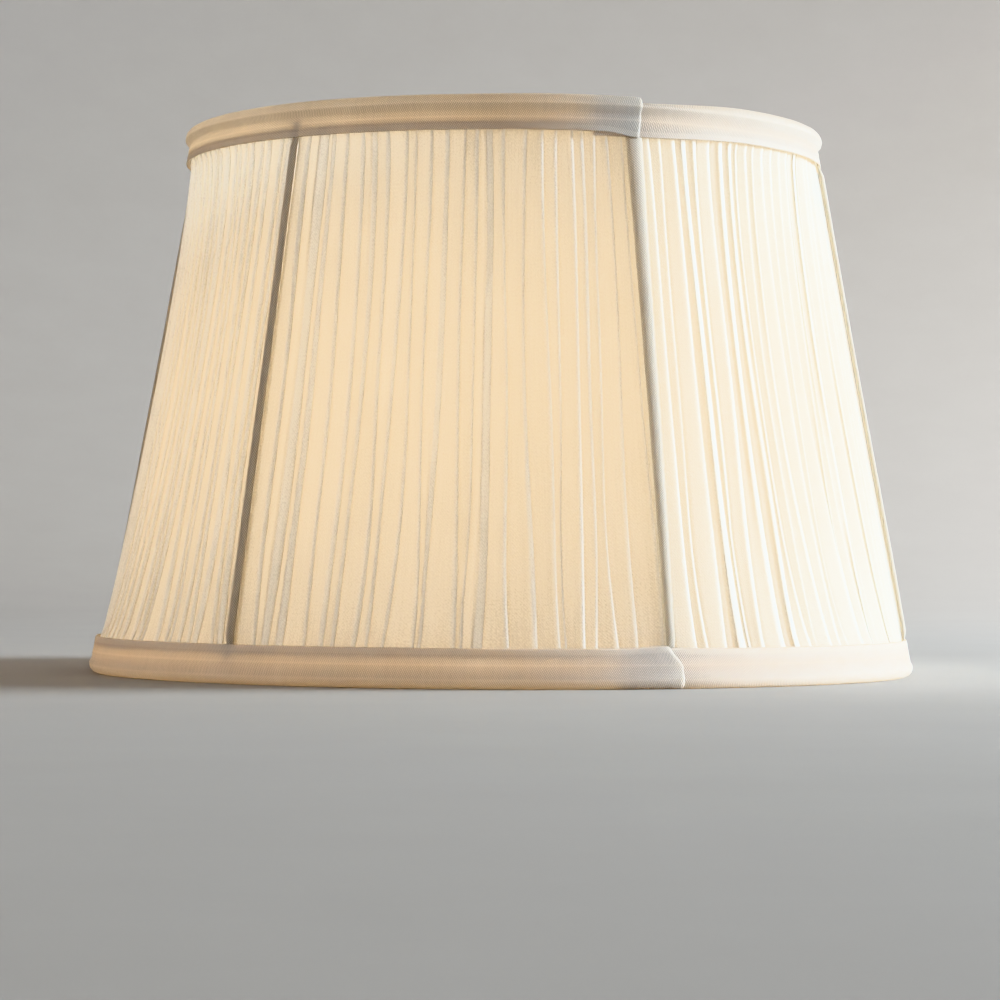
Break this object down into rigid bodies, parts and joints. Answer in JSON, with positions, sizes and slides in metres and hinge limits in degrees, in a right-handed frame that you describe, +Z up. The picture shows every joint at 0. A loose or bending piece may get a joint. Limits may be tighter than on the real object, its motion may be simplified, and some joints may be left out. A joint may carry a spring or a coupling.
{
  "type": "lamp shade",
  "caption": "Tapered round lamp shade of pleated cream fabric on a wire frame, with bias-cut trims, an inner lining and a reversible gimbal with a reducer ring.",
  "frame": {"origin": "centre of the bottom rim, on the surface that the shade stands on", "axes": "+Z up along the shade's axis; +X along the gimbal's pivot axis, through two opposite struts; -Y is the front, where the middle of pleated_panel_1 faces"},
  "size_m": [0.305, 0.305, 0.2],
  "materials": {
    "white_wire": "satin white coating",
    "binding_tape": "plain cotton tape",
    "pleated_cloth": "fine crepe in knife pleats",
    "bias_trim": "fine twill cut on the bias",
    "lining_cloth": "smooth crepe",
    "reducer_plastic": "moulded"
  },
  "bodies": {
    "shade": {"top_ring": "white_wire", "bottom_ring": "white_wire", "strut_1": "white_wire", "strut_2": "white_wire", "strut_3": "white_wire", "strut_4": "white_wire", "strut_5": "white_wire", "strut_6": "white_wire", "pivot_peg_right": "white_wire", "pivot_peg_left": "white_wire", "top_ring_tape": "binding_tape", "bottom_ring_tape": "binding_tape", "strut_tape_1": "binding_tape", "strut_tape_2": "binding_tape", "strut_tape_3": "binding_tape", "strut_tape_4": "binding_tape", "strut_tape_5": "binding_tape", "strut_tape_6": "binding_tape", "pleated_panel_1": "pleated_cloth", "pleated_panel_2": "pleated_cloth", "pleated_panel_3": "pleated_cloth", "pleated_panel_4": "pleated_cloth", "pleated_panel_5": "pleated_cloth", "pleated_panel_6": "pleated_cloth", "top_trim": "bias_trim", "bottom_trim": "bias_trim", "strut_cover_1": "bias_trim", "strut_cover_2": "bias_trim", "strut_cover_3": "bias_trim", "strut_cover_4": "bias_trim", "strut_cover_5": "bias_trim", "strut_cover_6": "bias_trim", "lining_front": "lining_cloth", "lining_back": "lining_cloth", "neatener_right": "lining_cloth", "neatener_left": "lining_cloth"},
    "gimbal": {"gimbal_arm_right": "white_wire", "gimbal_arm_left": "white_wire", "fitter_ring": "white_wire"},
    "reducer": {"reducer_ring": "reducer_plastic"}
  },
  "joints": [
    {"name": "gimbal_swing", "type": "hinge", "parent": "shade", "child": "gimbal", "pos_m": [0, 0, 0.175], "axis": [1, 0, 0], "range_deg": [0, 180]},
    {"name": "reducer_lift", "type": "slide", "parent": "gimbal", "child": "reducer", "axis": [0, 0, 1], "range_m": [0, 0.02]}
  ]
}
